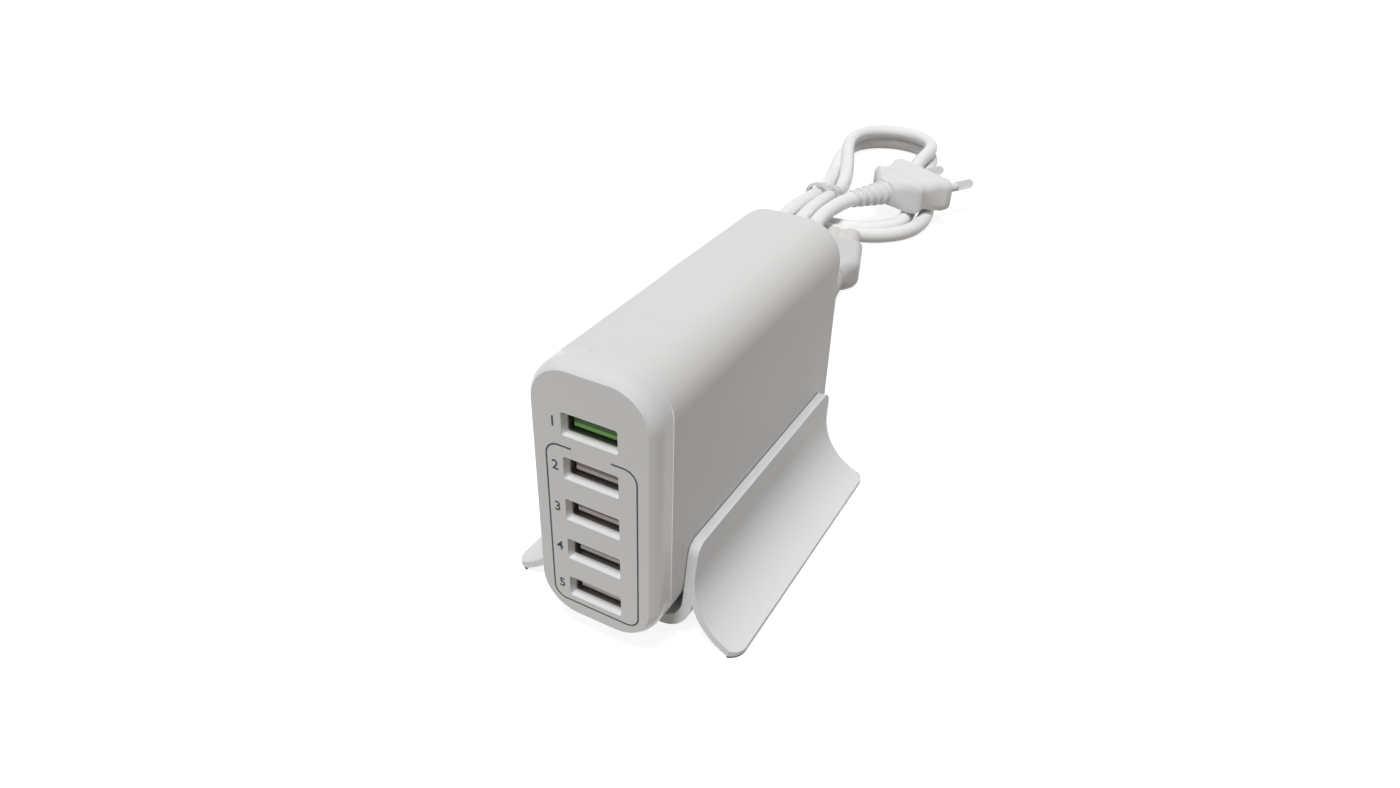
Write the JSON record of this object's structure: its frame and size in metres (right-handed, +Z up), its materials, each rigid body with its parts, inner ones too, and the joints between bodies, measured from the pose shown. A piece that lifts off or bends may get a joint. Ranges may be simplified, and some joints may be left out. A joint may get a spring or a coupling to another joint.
{
  "type": "usb charger",
  "caption": "Slim upright desktop charger with a row of flat ports, resting in a curved cradle, and its detached mains lead in a tied hank behind it",
  "frame": {"origin": "On the table under the middle of the charger in its cradle: the bottom centre of their box, without the mains lead", "axes": "+Z up, the ports face -Y, +X is to the right seen from the ports, and the charger's longest extent is along Y"},
  "size_m": [0.107, 0.36, 0.0694],
  "materials": {
    "gloss_bezel": "satin face with a gloss rim, cool white plastic",
    "shell_plastic": "smooth satin white plastic",
    "cradle_plastic": "satin white sheet, slightly cooler than the housing",
    "strip_rubber": "matt dark anti-slip strip",
    "inlet_plastic": "matt white",
    "plated_pin": "nickel-plated brass",
    "socket_steel": "tin-plated sheet steel",
    "green_tongue": "matt green",
    "grey_tongue": "matt light grey",
    "gold_contact": "gold-plated strip",
    "circuit_board": "green solder resist on glass-fibre board",
    "header_plastic": "black moulding with plated pins",
    "sheet_plastic": "milky insulating sheet",
    "wire_sleeve": "insulated wire",
    "black_epoxy": "black moulded epoxy",
    "yellow_case": "yellow film capacitor case",
    "ferrite": "dark grey sintered ferrite",
    "copper_winding": "enamelled copper wire",
    "tape_winding": "yellow tape over the winding",
    "capacitor_sleeve": "sleeved aluminium can",
    "output_sleeve": "sleeved aluminium can",
    "sink_aluminium": "plain aluminium plate",
    "ivory_nose": "ivory moulding",
    "cord_plastic": "smooth flexible white sheath",
    "plug_plastic": "satin white moulding",
    "tie_plastic": "translucent band"
  },
  "bodies": {
    "root": {"front_bezel": "gloss_bezel", "main_housing": "shell_plastic", "stand": "cradle_plastic", "foot_strip_left": "strip_rubber", "foot_strip_right": "strip_rubber", "mains_inlet": "inlet_plastic", "inlet_pins": "plated_pin", "socket_shell_1": "socket_steel", "socket_shell_2": "socket_steel", "socket_shell_3": "socket_steel", "socket_shell_4": "socket_steel", "socket_shell_5": "socket_steel", "socket_tongue_1": "green_tongue", "socket_tongue_2": "grey_tongue", "socket_tongue_3": "grey_tongue", "socket_tongue_4": "grey_tongue", "socket_tongue_5": "grey_tongue", "socket_contacts_1": "gold_contact", "socket_contacts_2": "gold_contact", "socket_contacts_3": "gold_contact", "socket_contacts_4": "gold_contact", "socket_contacts_5": "gold_contact", "socket_board": "circuit_board", "main_board": "circuit_board", "board_header": "header_plastic", "insulating_sheet": "sheet_plastic", "inlet_leads": "wire_sleeve", "fuse": "black_epoxy", "suppression_capacitor": "yellow_case", "choke_core": "ferrite", "choke_windings": "copper_winding", "rectifier": "black_epoxy", "input_capacitors": "capacitor_sleeve", "transformer_core": "ferrite", "transformer_winding": "tape_winding", "heat_sink": "sink_aluminium", "power_transistor": "black_epoxy", "output_capacitors": "output_sleeve", "connector_nose": "ivory_nose", "connector_grip": "plug_plastic", "mains_lead": "cord_plastic", "lead_tie": "tie_plastic", "plug_body": "plug_plastic", "plug_sleeves": "plug_plastic", "plug_pins": "plated_pin"}
  },
  "joints": []
}
